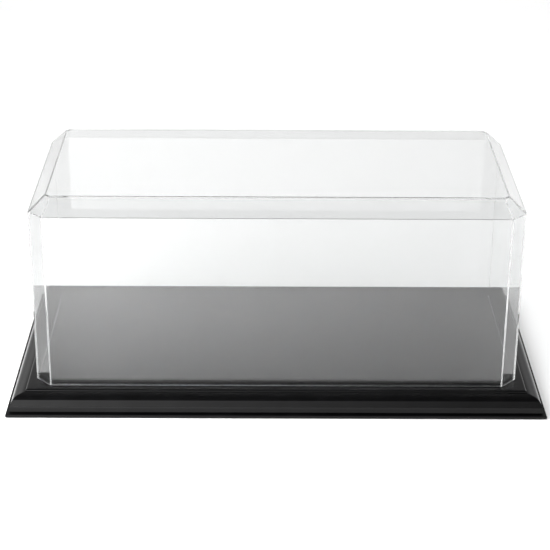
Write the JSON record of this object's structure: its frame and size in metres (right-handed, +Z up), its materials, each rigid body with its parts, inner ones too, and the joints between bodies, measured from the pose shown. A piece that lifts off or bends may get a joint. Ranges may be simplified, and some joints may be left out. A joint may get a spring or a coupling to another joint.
{
  "type": "football display case",
  "caption": "Display case for a football: clear one-piece cover with chamfered corners and a bevelled top, lifting off a low black moulded base.",
  "frame": {"origin": "centre of the footprint, on the surface that the feet stand on", "axes": "+X along the length to the right as seen from the front, -Y to the front, +Z up"},
  "size_m": [0.4718, 0.2454, 0.1929],
  "materials": {
    "clear_acrylic": "clear, polished",
    "black_lacquer": "high-gloss black lacquer on fibreboard",
    "pale_wood": "bare beech and pine",
    "fibreboard": "bare hardboard",
    "zinc_steel": "zinc plated",
    "black_rubber": "matt"
  },
  "bodies": {
    "base": {"rail_front": "black_lacquer", "rail_right": "black_lacquer", "rail_rear": "black_lacquer", "rail_left": "black_lacquer", "floor_panel": "black_lacquer", "biscuit_front_left": "pale_wood", "biscuit_front_right": "pale_wood", "biscuit_rear_left": "pale_wood", "biscuit_rear_right": "pale_wood", "batten_left": "pale_wood", "batten_right": "pale_wood", "bottom_board": "fibreboard", "board_screws": "zinc_steel", "foot_front_left": "black_rubber", "foot_front_right": "black_rubber", "foot_rear_left": "black_rubber", "foot_rear_right": "black_rubber"},
    "cover": {"cover": "clear_acrylic"}
  },
  "joints": [
    {"name": "cover_lift", "type": "slide", "parent": "base", "child": "cover", "axis": [0, 0, 1], "range_m": [0, 0.2]}
  ]
}
